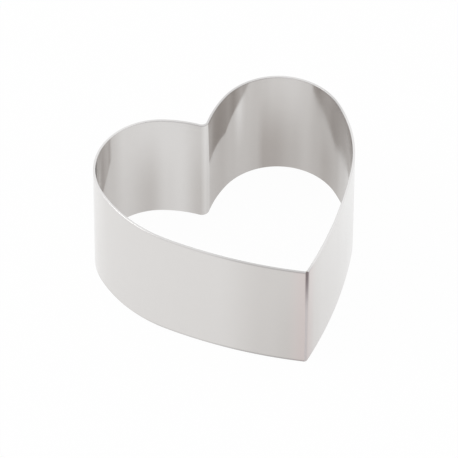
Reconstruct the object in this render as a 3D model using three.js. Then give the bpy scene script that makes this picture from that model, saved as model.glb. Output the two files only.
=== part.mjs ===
// Heart cake ring: one strip of stainless steel bent to a heart and closed by one butt weld at its tip.
// Millimetres, +Z up. The tip points to -Y and the two lobes to +Y, and the lower rim stands on z = 0.
import * as THREE from "three";

// Sizes of the heart, measured on the outside of the strip
const LOBE_RADIUS = 22.7;
const LOBE_SPACING = 44.6; // between the centres of the two lobes
const LOBE_TURN = 118; // degrees, from the lobe's widest point to where its flatter run to the cleft starts
const RUN_RADIUS = 42; // bow of the run between lobe and cleft
const TIP_DROP = 63.7; // from the line of the lobes' centres down to the corner where the two flanks would meet
const SHOULDER_RADIUS = 48.7; // eases each lobe, at its widest point, into its flank
const FLANK_RADIUS = 162; // slight bow of the two long sides

// Sizes of the strip and its bends
const STRIP_HEIGHT = 45;
const STRIP_THICKNESS = 0.8;
const TIP_INSIDE_BEND = 0.4; // radius on the hollow side of the fold
const CLEFT_INSIDE_BEND = 1.8; // radius on the hollow side of the fold

// Sizes of the weld that closes the strip
const WELD_WIDTH = 1; // along the outside of the tip's bend
const WELD_CROWN = 0.15; // the bead stands about this far into the ring, and is ground flush outside

// Largest distance between a true arc and its flat facets
const CHORD_ERROR = 0.01;
const WELD_CROWN_STEPS = 6;

// Colours of the finish
const STEEL_COLOUR = 0xcfcdca;
const WELD_COLOUR = 0xc4c2bf;

// Centres and angles of the right half's circles. The lobes' centres lie on y = 0.
const lobeCentre = new THREE.Vector2(LOBE_SPACING / 2, 0);
const shoulderCentre = new THREE.Vector2(lobeCentre.x + LOBE_RADIUS - SHOULDER_RADIUS, 0);
const tipCorner = new THREE.Vector2(0, -TIP_DROP);
const flankCentre = centreThroughAndAround(tipCorner, shoulderCentre);
const touchAngle = angleTo(flankCentre, shoulderCentre);

// The tip's bend lies between the two flanks and touches both from inside.
const tipRadius = TIP_INSIDE_BEND + STRIP_THICKNESS;
const tipCentre = new THREE.Vector2(0, flankCentre.y - side(FLANK_RADIUS - tipRadius, flankCentre.x));
const tipAngle = angleTo(flankCentre, tipCentre);

// The run goes on from the lobe in the same direction.
const runAngle = THREE.MathUtils.degToRad(LOBE_TURN);
const runCentre = pointAt(lobeCentre, LOBE_RADIUS - RUN_RADIUS, runAngle);

// The cleft's bend lies between the two runs and touches both from outside. It can't be narrower than their gap.
const cleftRadius = Math.max(CLEFT_INSIDE_BEND, runCentre.x - RUN_RADIUS);
const cleftCentre = new THREE.Vector2(0, runCentre.y + side(RUN_RADIUS + cleftRadius, runCentre.x));
const cleftAngle = angleTo(runCentre, cleftCentre);

// The weld lies in the middle of the tip's bend.
const weldEnd = (WELD_WIDTH / tipRadius - Math.PI) / 2;
const weldStart = -Math.PI - weldEnd;

// The second short side of a right-angled triangle
function side(longest, other) {
  return Math.sqrt(longest ** 2 - other ** 2);
}

function angleTo(from, to) {
  return Math.atan2(to.y - from.y, to.x - from.x);
}

function pointAt(centre, radius, angle) {
  return new THREE.Vector2(radius, 0).rotateAround(new THREE.Vector2(), angle).add(centre);
}

// Centre of the flank's circle, which passes through a point and goes round the shoulder's circle, touching it
function centreThroughAndAround(point, centre) {
  const apart = point.distanceTo(centre);
  const along = (apart ** 2 + FLANK_RADIUS ** 2 - (FLANK_RADIUS - SHOULDER_RADIUS) ** 2) / (2 * apart);
  const direction = centre.clone().sub(point).normalize();
  const across = new THREE.Vector2(-direction.y, direction.x);
  return point.clone().addScaledVector(direction, along).addScaledVector(across, side(FLANK_RADIUS, along));
}

// An arc on the outside of the strip. It runs anticlockwise where the heart bulges and clockwise at the cleft.
function arc(centre, radius, from, to) {
  return { centre, radius, from, to };
}

function mirrored({ centre, radius, from, to }) {
  return arc(new THREE.Vector2(-centre.x, centre.y), radius, Math.PI - to, Math.PI - from);
}

// Points of an arc moved into the heart by a depth, with the same number of points at every depth
function arcPoints({ centre, radius, from, to }, depth) {
  const clockwise = to < from;
  const step = 2 * Math.acos(1 - CHORD_ERROR / radius);
  const count = Math.ceil(Math.abs(to - from) / step);
  const moved = clockwise ? radius + depth : radius - depth;
  return new THREE.ArcCurve(centre.x, centre.y, moved, from, to, clockwise).getPoints(count);
}

// The bends of the strip in order, from one side of the weld round the heart to the other
function stripArcs() {
  const run = arc(runCentre, RUN_RADIUS, runAngle, cleftAngle);
  const lobe = arc(lobeCentre, LOBE_RADIUS, 0, runAngle);
  const shoulder = arc(shoulderCentre, SHOULDER_RADIUS, touchAngle, 0);
  const flank = arc(flankCentre, FLANK_RADIUS, tipAngle, touchAngle);
  const tip = arc(tipCentre, tipRadius, weldEnd, tipAngle);
  return [
    tip,
    flank,
    shoulder,
    lobe,
    run,
    arc(cleftCentre, cleftRadius, cleftAngle - Math.PI, -cleftAngle),
    mirrored(run),
    mirrored(lobe),
    mirrored(shoulder),
    mirrored(flank),
    mirrored(tip),
  ];
}

// One line of points along the strip, where each arc starts on the last point of the arc before it
function stripLine(depth) {
  const runs = stripArcs().map((bend) => arcPoints(bend, depth));
  return runs.flatMap((points, index) => (index === 0 ? points : points.slice(1)));
}

function steel(color, roughness) {
  return new THREE.MeshStandardMaterial({ color, roughness, metalness: 1 });
}

function raised(shape, curveSegments) {
  return new THREE.ExtrudeGeometry(shape, { depth: STRIP_HEIGHT, bevelEnabled: false, curveSegments });
}

// The strip: out along its outside, back along its inside
function heartBand() {
  const outline = [...stripLine(0), ...stripLine(STRIP_THICKNESS).reverse()];
  const band = new THREE.Mesh(raised(new THREE.Shape(outline), 1), steel(STEEL_COLOUR, 0.22));
  band.name = "heart_band";
  return band;
}

// The weld fills the joint between the strip's two ends, face to face with both.
function seamWeld() {
  const outline = new THREE.Shape(arcPoints(arc(tipCentre, tipRadius, weldStart, weldEnd), 0));
  const right = pointAt(tipCentre, TIP_INSIDE_BEND, weldEnd);
  const crown = pointAt(tipCentre, TIP_INSIDE_BEND - 2 * WELD_CROWN, -Math.PI / 2);
  const left = pointAt(tipCentre, TIP_INSIDE_BEND, weldStart);
  outline.lineTo(right.x, right.y);
  outline.quadraticCurveTo(crown.x, crown.y, left.x, left.y);
  const weld = new THREE.Mesh(raised(outline, WELD_CROWN_STEPS), steel(WELD_COLOUR, 0.3));
  weld.name = "seam_weld";
  return weld;
}

// The heart's box is centred on x = 0 and y = 0.
const ring = new THREE.Group();
ring.add(heartBand(), seamWeld());
ring.position.y = -(LOBE_RADIUS + tipCentre.y - tipRadius) / 2;

export default ring;
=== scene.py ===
"""Heart cake ring: one bright stainless steel strip, bent to a heart and welded shut, on a white table.

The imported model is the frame. The strip and its weld are modelled again here with smooth bends, rounded rims
and a rippled bead, and get their steel finishes. Sizes are in metres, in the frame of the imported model.
"""
import math
from collections import namedtuple

import bpy
from bpy.props import FloatProperty, FloatVectorProperty, IntProperty, PointerProperty
from mathutils import Matrix, Vector


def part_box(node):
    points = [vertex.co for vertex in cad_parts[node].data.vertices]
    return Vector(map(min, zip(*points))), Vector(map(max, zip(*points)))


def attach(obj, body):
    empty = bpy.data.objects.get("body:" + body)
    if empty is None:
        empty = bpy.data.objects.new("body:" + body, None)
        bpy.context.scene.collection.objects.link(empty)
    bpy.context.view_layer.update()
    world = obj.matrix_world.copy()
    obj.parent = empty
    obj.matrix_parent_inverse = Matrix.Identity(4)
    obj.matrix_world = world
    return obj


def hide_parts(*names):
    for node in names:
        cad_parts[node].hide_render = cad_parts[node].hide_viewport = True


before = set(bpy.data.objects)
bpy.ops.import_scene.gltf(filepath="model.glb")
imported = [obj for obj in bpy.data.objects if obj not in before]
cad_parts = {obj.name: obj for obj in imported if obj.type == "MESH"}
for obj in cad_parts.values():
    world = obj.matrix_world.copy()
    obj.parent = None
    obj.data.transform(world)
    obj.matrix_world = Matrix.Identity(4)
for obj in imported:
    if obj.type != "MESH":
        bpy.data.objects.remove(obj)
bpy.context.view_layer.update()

bl_info = {
    "name": "Heart Cake Ring",
    "version": (1, 0, 0),
    "blender": (4, 5, 0),
    "location": "View3D > Sidebar > Heart Ring",
    "description": "Bends a stainless steel strip to a heart, welds it shut and sets it on a white table",
    "category": "Add Mesh",
}

BAND_LOW, BAND_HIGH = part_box("heart_band")
LOBE_RADIUS = 0.0227
WHITE = (1.0, 1.0, 1.0, 1.0)

# Names of the strip's own map and of its mark for depth
RUN_MAP = "strip_run"
DEPTH_MARK = "strip_depth"

# Modelling
DOUBLES_GAP = 1e-7
SHARP_ANGLE = math.radians(50)  # edges sharper than this stay sharp
TURN_SLACK = 0.01  # radians before a bend's start that still count as its start
TIP_MIDDLE = -math.pi / 2  # angle of the tip's middle about the centre of its bend

# Camera
PICTURE_SIDE = 458  # pixels, in which the focal length is given
SENSOR_WIDTH = 36.0  # millimetres
CLIP_START = 0.05
CLIP_END = 50.0

# One bend of the strip in plan, along its outside. It runs from one angle to another about its centre.
Bend = namedtuple("Bend", "centre radius start end")

# A point's place in the strip: how far along it, and how deep inside its outer face
StripPlace = namedtuple("StripPlace", "run depth")

# A shaded point's place as sockets: its run in metres and as a portion of the whole, its height and depth
Spot = namedtuple("Spot", "run portion height depth")

# The bead is drawn up in ripples of three steps, each with its share of the pitch and of the full width.
RippleStep = namedtuple("RippleStep", "rise width")
RIPPLE = (RippleStep(0.3, 1.0), RippleStep(0.45, 1.0), RippleStep(0.25, 0.92))
BEAD_SIDES = 24
BEAD_END_WIDTH = 0.7
BEAD_END_ROOM = 4  # roundings of the rims that the bead leaves free, at both its ends together

# The strip's colour rises and falls in soft bands of painted reflection. The bands paint the light and shade
# that the walls mirror of the table and of each other, and a painted highlight along the cleft's fold. A band
# lies at a share of the strip's run, which goes from the weld along the right flank to the cleft at a half,
# and back to the weld along the left flank. Its painted shine is given at the lower rim and at the upper rim,
# from dull at nought to bright at one.
Band = namedtuple("Band", "run low high")
OUTSIDE_REFLECTION_BANDS = (
    Band(0.0, 0.15, 0.1),
    Band(0.005, 0.33, 0.62),
    Band(0.01, 0.44, 0.66),
    Band(0.02, 0.57, 0.69),
    Band(0.045, 0.67, 0.77),
    Band(0.09, 0.72, 0.84),
    Band(0.13, 0.78, 0.96),
    Band(0.16, 0.88, 1.0),
    Band(0.3, 0.75, 0.75),
    Band(0.68, 0.82, 0.84),
    Band(0.71, 0.8, 0.86),
    Band(0.735, 0.73, 0.73),
    Band(0.8, 0.72, 0.72),
    Band(0.89, 0.69, 0.7),
    Band(0.955, 0.46, 0.49),
    Band(0.985, 0.38, 0.47),
    Band(1.0, 0.27, 0.42),
)
INSIDE_REFLECTION_BANDS = (
    Band(0.0, 0.49, 0.49),
    Band(0.15, 0.49, 0.49),
    Band(0.2, 0.95, 0.95),
    Band(0.225, 0.9, 0.9),
    Band(0.245, 0.45, 0.62),
    Band(0.265, 0.36, 0.58),
    Band(0.28, 0.15, 0.52),
    Band(0.305, 0.1, 0.55),
    Band(0.32, 0.26, 0.36),
    Band(0.335, 0.36, 0.5),
    Band(0.352, 0.24, 0.6),
    Band(0.378, 0.05, 0.53),
    Band(0.389, 0.03, 0.44),
    Band(0.4, 0.3, 0.38),
    Band(0.414, 0.38, 0.45),
    Band(0.424, 0.39, 0.9),
    Band(0.436, 0.32, 0.4),
    Band(0.46, 0.14, 0.18),
    Band(0.4935, 0.05, 0.35),
    Band(0.498, 0.8, 0.94),
    Band(0.5035, 0.36, 0.6),
    Band(0.53, 0.75, 0.82),
    Band(0.545, 0.68, 0.84),
    Band(0.567, 0.36, 0.78),
    Band(0.6, 0.59, 0.7),
    Band(0.625, 0.4, 0.38),
    Band(0.645, 0.2, 0.2),
    Band(0.655, 0.48, 0.48),
    Band(0.665, 1.0, 1.0),
    Band(0.73, 0.9, 0.9),
    Band(0.8, 0.49, 0.49),
    Band(1.0, 0.49, 0.49),
)
LOW_SHINE_TO = 0.2  # share of the strip's height up to which the shine at the lower rim holds

# The former scuffed the inside of the right lobe, which mirrors less sharply there.
Scuff = namedtuple("Scuff", "run amount")
SCUFFS = (
    Scuff(0.0, 0.0),
    Scuff(0.23, 0.0),
    Scuff(0.26, 1.0),
    Scuff(0.31, 1.0),
    Scuff(0.34, 0.0),
    Scuff(1.0, 0.0),
)

# Painted shade darkens the rims' edges: the outer ones on the left flank, the inner ones along both lobes.
# The outer strength also sets the painted contact shadow along the foot of the outside.
EdgeShade = namedtuple("EdgeShade", "run outer inner")
SHADED_EDGES = (
    EdgeShade(0.0, 0.5, 0.0),
    EdgeShade(0.02, 0.0, 0.0),
    EdgeShade(0.25, 0.0, 0.0),
    EdgeShade(0.28, 0.0, 0.8),
    EdgeShade(0.35, 0.0, 0.25),
    EdgeShade(0.43, 0.0, 0.6),
    EdgeShade(0.47, 0.0, 0.7),
    EdgeShade(0.55, 0.0, 0.45),
    EdgeShade(0.6, 0.0, 0.1),
    EdgeShade(0.78, 0.1, 0.0),
    EdgeShade(0.82, 0.4, 0.0),
    EdgeShade(0.87, 0.45, 0.0),
    EdgeShade(0.93, 0.9, 0.0),
    EdgeShade(1.0, 1.0, 0.0),
)
# The flat of a rim takes painted shade where its edges are darkest
FLAT_SHADE = 0.35  # how dull a rim's flat is where its edges are dullest

# A mark on the steel is strongest at its source and fades out at its reach.
Mark = namedtuple("Mark", "reach strength")
BLUSH = Mark(0.007, 0.5)  # along the strip from the weld
# The weld's dark mark is partly its heat tint and partly a painted dark reflection, which grows towards the
# upper rim.
RIGHT_SCORCH_AND_REFLECTION = Mark(0.001, 0.6)  # along the right flank from the weld
LEFT_SCORCH_AND_REFLECTION = Mark(0.0004, 0.5)  # along the left flank from the weld
# The next two marks are painted shade: a contact shadow up from the lower rim, and a shade down from the upper
# rim that is full at the distance after them
FOOT_SHADOW = Mark(0.0012, 0.6)  # up from the lower rim
LIP_SHADE = Mark(0.0008, 0.4)  # down from the upper rim
LIP_FULL = 0.0002  # distance below the upper rim at which the lip's wear is full
SCORCH_AND_REFLECTION_FROM = 0.55  # share of the strip's height at which the scorch begins

# Distances from a rim's flat, as shares of its rounding
RIM_FULL = 0.1
FLAT_FROM = 0.25

# Depths in the weld, as shares of the strip's thickness
GROUND_TO = 0.4
CAST_FROM = 0.8

# Patterns in the steel, with their features to the metre along each axis and their detail
Pattern = namedtuple("Pattern", "stretch detail")
ROLLED_STREAKS = Pattern((50.0, 50.0, 5000.0), 3.0)
BENDING_WAVES = Pattern((70.0, 70.0, 30.0), 1.0)
CAST_SKIN = Pattern((9000.0, 9000.0, 9000.0), 4.0)
HEAT_CLOUDS = Pattern((200.0, 200.0, 120.0), 2.0)
STREAK_DEPTH = 2e-7
WAVE_DEPTH = 3e-5
SKIN_DEPTH = 4e-6
NOISE_LOW = 0.3
NOISE_HIGH = 0.7
CLOUD_LOW = 0.4

# Roughness
SMOOTHEST_STREAK = 0.8  # share of the polish
ROUGHEST_STREAK = 1.25  # share of the polish
RIM_BLUR = 0.14
SMOOTHEST_SKIN = 0.16
ROUGHEST_SKIN = 0.3
GRAIN_TURN = 0.25  # of a whole turn, from the strip's run to the direction that blurs most

# What the heat left of the weld metal's red, green and blue where it turned straw
STRAW_TINT = (1.0, 0.94, 0.84)

# Places of the sockets for colours on a mix node
MIX_FACTOR = 0
MIX_FIRST = 6
MIX_SECOND = 7
MIX_RESULT = 2


def length(name, description, default):
    """A size in metres that a user can change"""
    return FloatProperty(name=name, description=description, default=default, unit="LENGTH", precision=5)


def angle(name, description, degrees):
    """An angle that a user can change"""
    return FloatProperty(name=name, description=description, default=math.radians(degrees), subtype="ANGLE")


def share(name, description, default):
    """A number from nought to one that a user can change"""
    return FloatProperty(
        name=name, description=description, default=default, min=0.0, max=1.0, subtype="FACTOR"
    )


def colour(name, description, default):
    """A colour that a user can change"""
    return FloatVectorProperty(
        name=name, description=description, default=default, size=4, subtype="COLOR", min=0, max=1
    )


def spot_in_room(name, description, default):
    """A point in the frame that a user can change"""
    return FloatVectorProperty(
        name=name, description=description, default=default, subtype="XYZ", unit="LENGTH"
    )


class HeartSizes(bpy.types.PropertyGroup):
    """Sizes of the bent strip and its weld"""

    lobe_radius: length("Lobe radius", "Outside radius of each lobe", LOBE_RADIUS)
    lobe_spacing: length(
        "Lobe spacing", "Between the centres of the two lobes", BAND_HIGH.x - BAND_LOW.x - 2 * LOBE_RADIUS
    )
    lobe_turn: angle("Lobe turn", "From the lobe's widest point to its flatter run to the cleft", 118.0)
    run_radius: length("Run radius", "Outside radius of the run between lobe and cleft", 0.042)
    tip_drop: length("Tip drop", "From the lobes' centres down to the corner of the two flanks", 0.0637)
    shoulder_radius: length("Shoulder radius", "Outside radius that eases each lobe into its flank", 0.0487)
    flank_radius: length("Flank radius", "Outside radius of the slight bow of the long sides", 0.162)
    strip_height: length("Strip height", "Height of the strip", BAND_HIGH.z - BAND_LOW.z)
    strip_thickness: length("Strip thickness", "Thickness of the sheet", 0.0008)
    tip_bend: length("Tip bend", "Radius on the hollow side of the fold at the tip", 0.0004)
    cleft_bend: length("Cleft bend", "Radius on the hollow side of the fold at the cleft", 0.0018)
    rim_round: length("Rim rounding", "Radius of the deburred edges of both rims", 0.00016)
    rim_steps: IntProperty(
        name="Rim steps", description="Flats across each rounded edge", default=4, min=1, max=8
    )
    smoothness: length("Smoothness", "Largest distance between a bend and its flats", 0.000002)
    weld_width: length("Weld width", "Width of the joint at the tip, on its outside", 0.001)
    bead_radius: length("Bead radius", "Radius of the bead that the weld leaves inside", 0.0004)
    bead_crown: length("Bead crown", "How far the bead stands into the ring", 0.0002)
    ripple_pitch: length("Ripple pitch", "Height of one ripple of the bead", 0.0009)


class SteelFinish(bpy.types.PropertyGroup):
    """Colours and polish of the steel, with the colours of its painted reflections and painted shade"""

    # The painted reflection bands blend from the dull colour, their darkest painted reflection, to the bright
    # steel
    steel: colour("Steel", "Colour of the bright rolled strip", (0.853, 0.842, 0.832, 1.0))
    steel_darkest_reflection: colour("Dull steel", "Colour of the dullest bands", (0.453, 0.422, 0.4, 1.0))
    rim: colour("Rim", "Colour of the brushed rims", (0.8, 0.79, 0.785, 1.0))
    blush: colour("Blush", "Colour that the weld's heat left on the strip's ends", (0.7, 0.6, 0.59, 1.0))
    seam: colour("Seam", "Colour of the ground outside of the weld", (0.58, 0.54, 0.54, 1.0))
    # Colour of the weld's heat mark together with the painted dark reflection at the tip
    scorch_and_reflection: colour("Scorch", "Colour where the weld's heat was greatest", (0.215, 0.178, 0.182, 1.0))
    # Colour of the painted shade on the rims' edges and flats, and of the painted contact shadow at the foot
    edge: colour("Edge", "Colour of the worn edges of the rims", (0.22, 0.21, 0.21, 1.0))
    bead: colour("Bead", "Colour of the weld metal", (0.5, 0.48, 0.45, 1.0))
    polish: share("Polish", "Roughness of the polished strip", 0.1)
    scuff: share("Scuff", "How much rougher the scuffed inside of the right lobe is", 0.12)
    grain: share("Grain", "How much more the rolled grain blurs up and down than along the strip", 0.45)


class StageSizes(bpy.types.PropertyGroup):
    """The table, the light and the camera"""

    azimuth: angle("Azimuth", "Camera's direction round the ring", -27.27)
    elevation: angle("Elevation", "Camera's height above the horizon", 48.2)
    roll: angle("Roll", "Camera's turn about its own axis", 0.25)
    distance: length("Distance", "From the camera to the point it looks at", 2.0231)
    focal_pixels: FloatProperty(
        name="Focal length", description="Focal length in pixels of the picture", default=6000
    )
    aim: spot_in_room("Aim", "Point that the camera looks at", (-0.005, 0.0038, 0.0225))
    table_size: length("Table size", "Side of the table", 6.0)
    table: colour("Table", "Colour of the table", (0.9, 0.9, 0.9, 1.0))
    shadow: share("Shadow", "How much of the table's own shade the camera sees", 0.03)
    mirrored_shadow: share("Mirrored shadow", "How much of the table's own shade the steel mirrors", 0.25)
    ambient: FloatProperty(name="Ambient", description="Strength of the white room", default=0.85, min=0)
    softbox_place: spot_in_room("Softbox place", "Middle of the lamp", (-1.2, 0.4, 1.0))
    softbox_size: length("Softbox size", "Side of the lamp", 0.9)
    softbox_power: FloatProperty(
        name="Softbox power", description="Power of the lamp", default=5.0, min=0, unit="POWER"
    )


def let_go():
    """Deselects everything in object mode, because an operator acts on all that is selected."""
    if bpy.context.mode != "OBJECT":
        bpy.ops.object.mode_set(mode="OBJECT")
    bpy.ops.object.select_all(action="DESELECT")


def between(first, second):
    """Angle of the line from one point of the plan to another"""
    return math.atan2(second.y - first.y, second.x - first.x)


def short_side(longest, other):
    """The second short side of a right-angled triangle"""
    return math.sqrt(longest**2 - other**2)


def mirrored(bend):
    """The same bend on the left half"""
    centre = Vector((-bend.centre.x, bend.centre.y))
    return Bend(centre, bend.radius, math.pi - bend.end, math.pi - bend.start)


class HeartPlan:
    """The heart's outline from above: its bends in order, from one side of the weld round to the other"""

    def __init__(self, sizes):
        self.thickness = sizes.strip_thickness
        lobe = Vector((sizes.lobe_spacing / 2, 0.0))
        shoulder = Vector((lobe.x + sizes.lobe_radius - sizes.shoulder_radius, 0.0))
        flank = self.flank_centre(Vector((0.0, -sizes.tip_drop)), shoulder, sizes)
        touch = between(flank, shoulder)
        tip_radius = sizes.tip_bend + sizes.strip_thickness
        tip = Vector((0.0, flank.y - short_side(sizes.flank_radius - tip_radius, flank.x)))
        tip_angle = between(flank, tip)
        to_run = Vector((math.cos(sizes.lobe_turn), math.sin(sizes.lobe_turn)))
        run = lobe + to_run * (sizes.lobe_radius - sizes.run_radius)
        cleft_radius = max(sizes.cleft_bend, run.x - sizes.run_radius)
        cleft = Vector((0.0, run.y + short_side(sizes.run_radius + cleft_radius, run.x)))
        cleft_angle = between(run, cleft)
        self.weld_end = (sizes.weld_width / tip_radius - math.pi) / 2
        self.weld_start = -math.pi - self.weld_end
        # the heart's box is centred on the frame's origin
        middle = Vector((0.0, -(sizes.lobe_radius + tip.y - tip_radius) / 2))
        for centre in (lobe, run, shoulder, flank, tip, cleft):
            centre += middle
        self.tip = tip
        self.tip_radius = tip_radius
        right_tip = Bend(tip, tip_radius, self.weld_end, tip_angle)
        right_run = Bend(run, sizes.run_radius, sizes.lobe_turn, cleft_angle)
        right_lobe = Bend(lobe, sizes.lobe_radius, 0.0, sizes.lobe_turn)
        right_shoulder = Bend(shoulder, sizes.shoulder_radius, touch, 0.0)
        right_flank = Bend(flank, sizes.flank_radius, tip_angle, touch)
        self.bends = [
            right_tip,
            right_flank,
            right_shoulder,
            right_lobe,
            right_run,
            Bend(cleft, cleft_radius, cleft_angle - math.pi, -cleft_angle),
            mirrored(right_run),
            mirrored(right_lobe),
            mirrored(right_shoulder),
            mirrored(right_flank),
            mirrored(right_tip),
        ]

    @staticmethod
    def flank_centre(corner, shoulder, sizes):
        """Centre of the circle through the tip's corner that goes round the shoulder's and touches it"""
        apart = (shoulder - corner).length
        reach = sizes.flank_radius - sizes.shoulder_radius
        along = (apart**2 + sizes.flank_radius**2 - reach**2) / (2 * apart)
        direction = (shoulder - corner) / apart
        across = Vector((-direction.y, direction.x))
        return corner + direction * along + across * short_side(sizes.flank_radius, along)

    def whole_run(self):
        """Length of the strip from one side of the weld to the other"""
        return sum(abs(bend.end - bend.start) * bend.radius for bend in self.bends)

    def strip_place(self, point):
        """Where in the strip a point of the plan lies"""
        nearest = None
        run = 0.0
        for bend in self.bends:
            low, high = sorted((bend.start, bend.end))
            turned = between(bend.centre, point) - low
            turned -= math.tau * math.floor((turned + TURN_SLACK) / math.tau)
            inside = min(max(turned, 0.0), high - low)
            arm = Vector((math.cos(low + inside), math.sin(low + inside))) * bend.radius
            depth = (bend.centre + arm - point).length
            travelled = inside if bend.end > bend.start else high - low - inside
            if nearest is None or depth < nearest.depth:
                nearest = StripPlace(run + travelled * bend.radius, depth)
            run += (high - low) * bend.radius
        return nearest

    def tip_point(self, depth, turn):
        """A point in the tip's bend, so deep inside its outer face, at an angle about the bend's centre"""
        return self.tip + Vector((math.cos(turn), math.sin(turn))) * (self.tip_radius - depth)


def stand_section(name, plan, sizes, turn):
    """Adds the strip's flat section in the tip's bend, and rounds its corners to the edges of the rims."""
    middle = plan.tip_point(sizes.strip_thickness / 2, turn)
    bpy.ops.mesh.primitive_plane_add(
        size=1.0, location=(*middle, sizes.strip_height / 2), rotation=(math.pi / 2, 0.0, turn)
    )
    piece = bpy.context.active_object
    piece.name = name
    piece.data.name = name
    piece.scale = (sizes.strip_thickness, sizes.strip_height, 1.0)
    bpy.ops.object.transform_apply(location=True, rotation=True, scale=True)
    bpy.ops.object.mode_set(mode="EDIT")
    bpy.ops.mesh.select_all(action="SELECT")
    bpy.ops.mesh.bevel(offset=sizes.rim_round, segments=sizes.rim_steps, profile=0.5, affect="VERTICES")
    bpy.ops.mesh.select_all(action="SELECT")
    return piece


def bend_section(bends, sizes):
    """Spins the selected section round one bend after another, as the strip is bent round its former."""
    for bend in bends:
        turn = bend.end - bend.start
        step = 2 * math.acos(1 - sizes.smoothness / bend.radius)
        steps = max(2, math.ceil(abs(turn) / step))
        # without a window a positive angle turns clockwise, seen from above
        bpy.ops.mesh.spin(steps=steps, angle=-turn, center=(*bend.centre, 0.0), axis=(0.0, 0.0, 1.0))


def close_mesh():
    """Merges the doubles of the piece in edit mode and turns all its faces out."""
    bpy.ops.mesh.select_all(action="SELECT")
    bpy.ops.mesh.remove_doubles(threshold=DOUBLES_GAP)
    bpy.ops.mesh.normals_make_consistent(inside=False)
    bpy.ops.object.mode_set(mode="OBJECT")


def finish_mesh(piece):
    """Closes the piece, and shades it smooth with its broad faces true."""
    close_mesh()
    bpy.ops.object.shade_smooth_by_angle(angle=SHARP_ANGLE)
    bpy.ops.object.modifier_add(type="WEIGHTED_NORMAL")
    piece.modifiers[-1].keep_sharp = True
    bpy.ops.object.modifier_apply(modifier=piece.modifiers[-1].name)


def map_run(piece, plan):
    """Writes a map, in metres along the strip and up it, and marks how deep in the strip each point lies."""
    layer = piece.data.uv_layers.new(name=RUN_MAP)
    points = [vertex.co for vertex in piece.data.vertices]
    places = [plan.strip_place(point.xy) for point in points]
    for loop in piece.data.loops:
        index = loop.vertex_index
        layer.data[loop.index].uv = (places[index].run, points[index].z)
    marks = piece.data.attributes.new(DEPTH_MARK, "FLOAT", "POINT")
    for mark, place in zip(marks.data, places):
        mark.value = place.depth / plan.thickness


def rippled_bead(name, plan, sizes):
    """Draws a round bead up the inside of the tip, one ripple after another, swelling and thinning."""
    inside = plan.tip_point(sizes.strip_thickness, TIP_MIDDLE)
    middle = inside + Vector((0.0, sizes.bead_crown - sizes.bead_radius))
    ripples = round((sizes.strip_height - BEAD_END_ROOM * sizes.rim_round) / sizes.ripple_pitch)
    low = (sizes.strip_height - ripples * sizes.ripple_pitch) / 2
    radius = BEAD_END_WIDTH * sizes.bead_radius
    bpy.ops.mesh.primitive_circle_add(
        vertices=BEAD_SIDES, radius=radius, fill_type="NGON", location=(*middle, low)
    )
    bead = bpy.context.active_object
    bead.name = name
    bead.data.name = name
    bpy.ops.object.transform_apply(location=True, rotation=True, scale=True)
    bpy.ops.object.mode_set(mode="EDIT")
    bpy.ops.mesh.select_all(action="SELECT")
    steps = list(RIPPLE) * ripples
    steps[-1] = steps[-1]._replace(width=BEAD_END_WIDTH)
    width = BEAD_END_WIDTH
    for step in steps:
        rise = (0.0, 0.0, step.rise * sizes.ripple_pitch)
        bpy.ops.mesh.extrude_region_move(TRANSFORM_OT_translate={"value": rise})
        grow = step.width / width
        bpy.ops.transform.resize(value=(grow, grow, 1.0), center_override=(*middle, 0.0))
        width = step.width
    return bead


def weld_bead(name, plan, sizes):
    """Fills the joint at the tip, flush with the strip, and melts a rippled bead into its inside."""
    bead = rippled_bead(name, plan, sizes)
    close_mesh()
    let_go()
    filler = stand_section("filler", plan, sizes, plan.weld_start)
    bend_section([Bend(plan.tip, plan.tip_radius, plan.weld_start, plan.weld_end)], sizes)
    close_mesh()
    let_go()
    bpy.context.view_layer.objects.active = bead
    bpy.ops.object.modifier_add(type="BOOLEAN")
    melt = bead.modifiers[-1]
    melt.operation = "UNION"
    melt.object = filler
    bpy.ops.object.modifier_apply(modifier=melt.name)
    filler.select_set(True)
    bpy.ops.object.delete()
    bead.select_set(True)
    bpy.ops.object.mode_set(mode="EDIT")
    return bead


def add_node(tree, kind, inputs=None, **settings):
    """Adds a node with its settings. An input is a value, or a socket that is linked to it."""
    node = tree.nodes.new(kind)
    for key, value in settings.items():
        setattr(node, key, value)
    for key, value in (inputs or {}).items():
        if isinstance(value, bpy.types.NodeSocket):
            tree.links.new(value, node.inputs[key])
        else:
            node.inputs[key].default_value = value
    return node


def patterned(tree, place, pattern):
    """Noise over a place, stretched as the pattern says"""
    mapped = add_node(tree, "ShaderNodeMapping", {"Vector": place, "Scale": pattern.stretch})
    inputs = {"Vector": mapped.outputs[0], "Scale": 1.0, "Detail": pattern.detail}
    return add_node(tree, "ShaderNodeTexNoise", inputs).outputs["Fac"]


def ramp(tree, value, low, high, start=0.0, end=1.0):
    """Eases a value from start to end while it goes from low to high"""
    inputs = {"Value": value, "From Min": low, "From Max": high, "To Min": start, "To Max": end}
    return add_node(tree, "ShaderNodeMapRange", inputs, interpolation_type="SMOOTHSTEP").outputs["Result"]


def fading(tree, distance, mark):
    """Strength of a mark at a distance from its source"""
    return ramp(tree, distance, 0.0, mark.reach, mark.strength, 0.0)


def reckon(tree, operation, first, second=0.0):
    """One sum on two numbers or sockets"""
    return add_node(tree, "ShaderNodeMath", {0: first, 1: second}, operation=operation).outputs[0]


def blended(tree, factor, first, second):
    """Mixes two colours"""
    inputs = {MIX_FACTOR: factor, MIX_FIRST: first, MIX_SECOND: second}
    return add_node(tree, "ShaderNodeMix", inputs, data_type="RGBA").outputs[MIX_RESULT]


def bumped(tree, height, depth, under=None):
    """Normal of a surface with a pattern so deep, over another bumped one where that is given"""
    inputs = {"Height": height, "Strength": 1.0, "Distance": depth}
    if under is not None:
        inputs["Normal"] = under
    return add_node(tree, "ShaderNodeBump", inputs).outputs[0]


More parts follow.
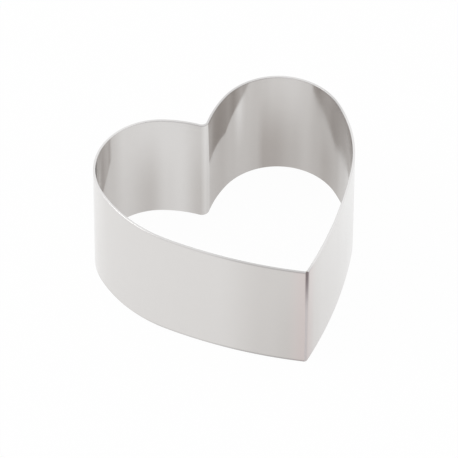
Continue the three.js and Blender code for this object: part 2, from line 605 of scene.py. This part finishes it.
def eased_along(tree, portion, stages, field):
    """Eases one field of the stages, from one stage to the next, along the strip's run"""
    node = add_node(tree, "ShaderNodeValToRGB", {"Fac": portion})
    node.color_ramp.interpolation = "EASE"
    stops = node.color_ramp.elements
    for stage in stages[1:-1]:
        stops.new(stage.run)
    for stop, stage in zip(stops, stages):
        value = getattr(stage, field)
        stop.position = stage.run
        stop.color = (value, value, value, 1.0)
    return node.outputs["Color"]


def banded_reflection(tree, portion, up, bands):
    """Painted shine of the reflection bands along the strip's run and up its height"""
    low = eased_along(tree, portion, bands, "low")
    high = eased_along(tree, portion, bands, "high")
    return blended(tree, up, low, high)


def strip_spot(tree, plan):
    """Reads a shaded point's place from the strip's own map and mark"""
    mapped = add_node(tree, "ShaderNodeUVMap", uv_map=RUN_MAP).outputs["UV"]
    run, height, _ = add_node(tree, "ShaderNodeSeparateXYZ", {0: mapped}).outputs
    portion = reckon(tree, "DIVIDE", run, plan.whole_run())
    depth = add_node(tree, "ShaderNodeAttribute", attribute_name=DEPTH_MARK).outputs["Fac"]
    return Spot(run, portion, height, depth)


def painted_reflection_colour(tree, spot, sizes, finish):
    """Rolled steel with painted reflections in soft bands, others outside than inside"""
    up = ramp(tree, spot.height, LOW_SHINE_TO * sizes.strip_height, sizes.strip_height)
    outside = banded_reflection(tree, spot.portion, up, OUTSIDE_REFLECTION_BANDS)
    inside = banded_reflection(tree, spot.portion, up, INSIDE_REFLECTION_BANDS)
    shine = blended(tree, spot.depth, outside, inside)
    return blended(tree, shine, finish.steel_darkest_reflection, finish.steel)


def scorch_and_reflection_mask(tree, height, sizes):
    """How much the weld's dark mark grows up the strip: its heat tint, and a painted dark reflection that is
    strongest below the upper rim
    """
    return ramp(tree, height, SCORCH_AND_REFLECTION_FROM * sizes.strip_height, sizes.strip_height)


def heat_tinted(tree, spot, rolled, plan, sizes, finish):
    """Tints the ends of the strip as the weld's heat did, and darkens them with heat tint and painted dark
    reflection, most of all below the upper rim
    """
    from_right = spot.run
    from_left = reckon(tree, "SUBTRACT", plan.whole_run(), spot.run)
    nearest = reckon(tree, "MINIMUM", from_right, from_left)
    blushed = blended(tree, fading(tree, nearest, BLUSH), rolled, finish.blush)
    right_dark_mark = fading(tree, from_right, RIGHT_SCORCH_AND_REFLECTION)
    left_dark_mark = fading(tree, from_left, LEFT_SCORCH_AND_REFLECTION)
    across = reckon(tree, "MAXIMUM", right_dark_mark, left_dark_mark)
    scorched_and_reflected = reckon(tree, "MULTIPLY", across, scorch_and_reflection_mask(tree, spot.height, sizes))
    return blended(tree, scorched_and_reflected, blushed, finish.scorch_and_reflection)


def rim_masks(tree, spot, sizes):
    """How much a point lies on a rim, and how much on the rounding at the rim's edge"""
    half = sizes.strip_height / 2
    from_middle = reckon(tree, "ABSOLUTE", reckon(tree, "SUBTRACT", spot.height, half))
    rim = ramp(tree, from_middle, half - sizes.rim_round, half - RIM_FULL * sizes.rim_round)
    off_the_flat = ramp(tree, from_middle, half - FLAT_FROM * sizes.rim_round, half, 1.0, 0.0)
    return rim, reckon(tree, "MULTIPLY", rim, off_the_flat)


def painted_rim_shade_mask(tree, spot, rim, rounding, sizes):
    """How much painted shade darkens the edges of the rims and their flats, and the painted contact shadow at
    the foot
    """
    outer = eased_along(tree, spot.portion, SHADED_EDGES, "outer")
    inner = eased_along(tree, spot.portion, SHADED_EDGES, "inner")
    # painted contact shadow along the foot, and painted shade below the upper rim
    foot = fading(tree, spot.height, FOOT_SHADOW)
    top = sizes.strip_height
    lip = ramp(tree, spot.height, top - LIP_SHADE.reach, top - LIP_FULL, 0.0, LIP_SHADE.strength)
    near_rim = reckon(tree, "MAXIMUM", rounding, lip)
    near_either = reckon(tree, "MAXIMUM", near_rim, foot)
    outside = reckon(tree, "SUBTRACT", 1.0, spot.depth)
    outer_edge = reckon(tree, "MULTIPLY", reckon(tree, "MULTIPLY", outside, outer), near_either)
    inner_edge = reckon(tree, "MULTIPLY", reckon(tree, "MULTIPLY", spot.depth, inner), near_rim)
    edges = reckon(tree, "MAXIMUM", outer_edge, inner_edge)
    dullest = reckon(tree, "MAXIMUM", outer, inner)
    flat = reckon(tree, "MULTIPLY", reckon(tree, "MULTIPLY", rim, FLAT_SHADE), dullest)
    return reckon(tree, "MAXIMUM", edges, flat)


def strip_roughness(tree, spot, rim, streaks, finish):
    """Roughness of the rolled streaks, and more of it on the rims and where the former scuffed the inside"""
    smoothest = SMOOTHEST_STREAK * finish.polish
    roughest = ROUGHEST_STREAK * finish.polish
    polished = ramp(tree, streaks, NOISE_LOW, NOISE_HIGH, smoothest, roughest)
    scuffed = reckon(tree, "MULTIPLY", eased_along(tree, spot.portion, SCUFFS, "amount"), spot.depth)
    scuff_blur = reckon(tree, "MULTIPLY", scuffed, finish.scuff)
    rim_blur = reckon(tree, "MULTIPLY", rim, RIM_BLUR)
    return reckon(tree, "ADD", polished, reckon(tree, "MAXIMUM", scuff_blur, rim_blur))


def new_metal(name):
    """A bare metal, with its node tree and shader"""
    material = bpy.data.materials.new(name)
    material.use_nodes = True
    shader = material.node_tree.nodes["Principled BSDF"]
    shader.inputs["Metallic"].default_value = 1.0
    return material, material.node_tree, shader


def steel_material(plan, sizes, finish):
    """Bright rolled strip: grain along its length, waves from bending, brushed rims and heat tints at the tip,
    with painted reflections in soft bands, painted shade on the rims and foot, and a painted dark reflection
    at the tip
    """
    material, tree, shader = new_metal("rolled_steel")
    spot = strip_spot(tree, plan)
    rim, rounding = rim_masks(tree, spot, sizes)
    # soft bands of painted reflection, with a painted highlight along the cleft's fold
    rolled = painted_reflection_colour(tree, spot, sizes, finish)
    # heat tints, and a painted dark reflection at the tip that grows towards the upper rim
    tinted = heat_tinted(tree, spot, rolled, plan, sizes, finish)
    brushed = blended(tree, rim, tinted, finish.rim)
    # painted shade on the rims' edges and flats, and a painted contact shadow along the outside's foot
    edge_shaded = blended(tree, painted_rim_shade_mask(tree, spot, rim, rounding, sizes), brushed, finish.edge)
    tree.links.new(edge_shaded, shader.inputs["Base Color"])

    place = add_node(tree, "ShaderNodeTexCoord").outputs["Object"]
    streaks = patterned(tree, place, ROLLED_STREAKS)
    waves = patterned(tree, place, BENDING_WAVES)
    tree.links.new(strip_roughness(tree, spot, rim, streaks, finish), shader.inputs["Roughness"])
    streaked = bumped(tree, streaks, STREAK_DEPTH)
    tree.links.new(bumped(tree, waves, WAVE_DEPTH, streaked), shader.inputs["Normal"])

    # the grain lies along the strip, so it blurs most up and down
    tangent = add_node(tree, "ShaderNodeTangent", direction_type="UV_MAP", uv_map=RUN_MAP)
    tree.links.new(tangent.outputs[0], shader.inputs["Tangent"])
    shader.inputs["Anisotropic"].default_value = finish.grain
    shader.inputs["Anisotropic Rotation"].default_value = GRAIN_TURN
    return material


def bead_material(plan, sizes, finish):
    """Weld metal: a fine cast skin with straw heat colours inside, ground flush outside, where heat tint and a
    painted dark reflection darken it towards the upper rim
    """
    material, tree, shader = new_metal("weld_metal")
    place = add_node(tree, "ShaderNodeTexCoord").outputs["Object"]
    _, inward, height = add_node(tree, "ShaderNodeSeparateXYZ", {0: place}).outputs
    skin = patterned(tree, place, CAST_SKIN)
    clouds = patterned(tree, place, HEAT_CLOUDS)
    straw = [part * tint for part, tint in zip(finish.bead, STRAW_TINT)]
    cast = blended(tree, ramp(tree, clouds, CLOUD_LOW, NOISE_HIGH), finish.bead, (*straw, 1.0))
    # the ground seam darkens towards the upper rim, with heat tint and painted dark reflection
    ground = blended(tree, scorch_and_reflection_mask(tree, height, sizes), finish.seam, finish.scorch_and_reflection)
    outside = plan.tip_point(0.0, TIP_MIDDLE).y
    ground_to = outside + GROUND_TO * sizes.strip_thickness
    cast_from = outside + CAST_FROM * sizes.strip_thickness
    inner = ramp(tree, inward, ground_to, cast_from)
    tree.links.new(blended(tree, inner, ground, cast), shader.inputs["Base Color"])
    rough = ramp(tree, skin, NOISE_LOW, NOISE_HIGH, SMOOTHEST_SKIN, ROUGHEST_SKIN)
    tree.links.new(rough, shader.inputs["Roughness"])
    inner_skin = reckon(tree, "MULTIPLY", skin, inner)
    tree.links.new(bumped(tree, inner_skin, SKIN_DEPTH), shader.inputs["Normal"])
    return material


def seen_directly(tree):
    """One where the camera, a reflection or a clear body looks at the background, and nought for its light"""
    path = add_node(tree, "ShaderNodeLightPath")
    eyes = reckon(tree, "MAXIMUM", path.outputs["Is Camera Ray"], path.outputs["Is Glossy Ray"])
    return reckon(tree, "MAXIMUM", eyes, path.outputs["Is Transmission Ray"])


def table_material(stage):
    """White table that keeps the ring's soft shadow"""
    material = bpy.data.materials.new("white_table")
    material.use_nodes = True
    tree = material.node_tree
    tree.nodes.remove(tree.nodes["Principled BSDF"])
    shade = add_node(tree, "ShaderNodeBsdfDiffuse", {"Color": stage.table}).outputs[0]
    glow = add_node(tree, "ShaderNodeEmission", {"Color": WHITE, "Strength": 1.0}).outputs[0]
    camera_ray = add_node(tree, "ShaderNodeLightPath").outputs["Is Camera Ray"]
    kept = ramp(tree, camera_ray, 0.0, 1.0, stage.mirrored_shadow, stage.shadow)
    seen = add_node(tree, "ShaderNodeMixShader", {0: kept, 1: glow, 2: shade}).outputs[0]
    surface = add_node(tree, "ShaderNodeMixShader", {0: seen_directly(tree), 1: shade, 2: seen}).outputs[0]
    tree.links.new(surface, tree.nodes["Material Output"].inputs["Surface"])
    return material


class HEARTRING_OT_bend_band(bpy.types.Operator):
    """Bend the steel strip to the heart"""

    bl_idname = "heartring.bend_band"
    bl_label = "Bend the band"

    def execute(self, context):
        sizes = context.scene.heart_sizes
        plan = HeartPlan(sizes)
        let_go()
        band = stand_section("bent_band", plan, sizes, plan.weld_end)
        bend_section(plan.bends, sizes)
        finish_mesh(band)
        map_run(band, plan)
        band.data.materials.append(steel_material(plan, sizes, context.scene.heart_finish))
        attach(band, "root")
        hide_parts("heart_band")
        return {"FINISHED"}


class HEARTRING_OT_weld_seam(bpy.types.Operator):
    """Weld the strip's two ends together"""

    bl_idname = "heartring.weld_seam"
    bl_label = "Weld the seam"

    def execute(self, context):
        sizes = context.scene.heart_sizes
        plan = HeartPlan(sizes)
        let_go()
        bead = weld_bead("weld_bead", plan, sizes)
        finish_mesh(bead)
        bead.data.materials.append(bead_material(plan, sizes, context.scene.heart_finish))
        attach(bead, "root")
        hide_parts("seam_weld")
        return {"FINISHED"}


class HEARTRING_OT_set_stage(bpy.types.Operator):
    """Set the table, the light and the camera"""

    bl_idname = "heartring.set_stage"
    bl_label = "Set the stage"

    def execute(self, context):
        stage = context.scene.heart_stage
        let_go()
        self.lay_table(stage)
        self.light_room(context.scene, stage)
        self.hang_softbox(stage)
        self.place_camera(context.scene, stage)
        context.scene.view_settings.view_transform = "Standard"
        return {"FINISHED"}

    def lay_table(self, stage):
        """A broad white table under the ring"""
        bpy.ops.mesh.primitive_plane_add(size=stage.table_size, location=(0.0, 0.0, 0.0))
        table = bpy.context.active_object
        table.name = "table"
        table.data.materials.append(table_material(stage))

    def light_room(self, scene, stage):
        """A white room all round"""
        world = bpy.data.worlds.new("white_room")
        scene.world = world
        world.use_nodes = True
        tree = world.node_tree
        background = tree.nodes["Background"]
        background.inputs["Color"].default_value = WHITE
        strength = ramp(tree, seen_directly(tree), 0.0, 1.0, stage.ambient, 1.0)
        tree.links.new(strength, background.inputs["Strength"])

    def hang_softbox(self, stage):
        """A broad lamp above the ring, on its left"""
        bpy.ops.object.light_add(type="AREA", location=stage.softbox_place)
        lamp = bpy.context.active_object
        lamp.name = "softbox"
        lamp.data.shape = "SQUARE"
        lamp.data.size = stage.softbox_size
        lamp.data.energy = stage.softbox_power
        lamp.rotation_euler = (-lamp.location).to_track_quat("-Z", "Y").to_euler()

    def place_camera(self, scene, stage):
        """A long lens at the picture's angle"""
        turn = Matrix.Rotation(stage.azimuth, 4, "Z")
        tilt = Matrix.Rotation(math.pi / 2 - stage.elevation, 4, "X")
        roll = Matrix.Rotation(stage.roll, 4, "Z")
        facing = turn @ tilt @ roll
        bpy.ops.object.camera_add()
        camera = bpy.context.active_object
        camera.name = "camera"
        camera.data.sensor_width = SENSOR_WIDTH
        camera.data.lens = stage.focal_pixels / PICTURE_SIDE * SENSOR_WIDTH
        camera.data.clip_start = CLIP_START
        camera.data.clip_end = CLIP_END
        back = facing.to_3x3() @ Vector((0.0, 0.0, stage.distance))
        camera.matrix_world = Matrix.Translation(Vector(stage.aim) + back) @ facing
        scene.camera = camera


class HEARTRING_PT_panel(bpy.types.Panel):
    """Lists the steps that make the ring"""

    bl_idname = "HEARTRING_PT_panel"
    bl_label = "Heart Ring"
    bl_space_type = "VIEW_3D"
    bl_region_type = "UI"
    bl_category = "Heart Ring"

    def draw(self, context):
        layout = self.layout
        for step in STEPS:
            layout.operator(step.bl_idname)
        for key in GROUPS:
            group = getattr(context.scene, key)
            box = layout.box()
            for setting in group.bl_rna.properties.keys():
                if setting not in {"rna_type", "name"}:
                    box.prop(group, setting)


STEPS = (HEARTRING_OT_bend_band, HEARTRING_OT_weld_seam, HEARTRING_OT_set_stage)
GROUPS = {"heart_sizes": HeartSizes, "heart_finish": SteelFinish, "heart_stage": StageSizes}


def register():
    """Adds the classes and their settings to Blender."""
    for item in (*GROUPS.values(), *STEPS, HEARTRING_PT_panel):
        bpy.utils.register_class(item)
    for key, group in GROUPS.items():
        setattr(bpy.types.Scene, key, PointerProperty(type=group))


def unregister():
    """Takes the classes and their settings out of Blender."""
    for key in GROUPS:
        delattr(bpy.types.Scene, key)
    for item in reversed((*GROUPS.values(), *STEPS, HEARTRING_PT_panel)):
        bpy.utils.unregister_class(item)


def main():
    """Makes the ring, piece by piece, and its stage."""
    register()
    bpy.ops.heartring.bend_band()
    bpy.ops.heartring.weld_seam()
    bpy.ops.heartring.set_stage()


if __name__ == "__main__":
    main()
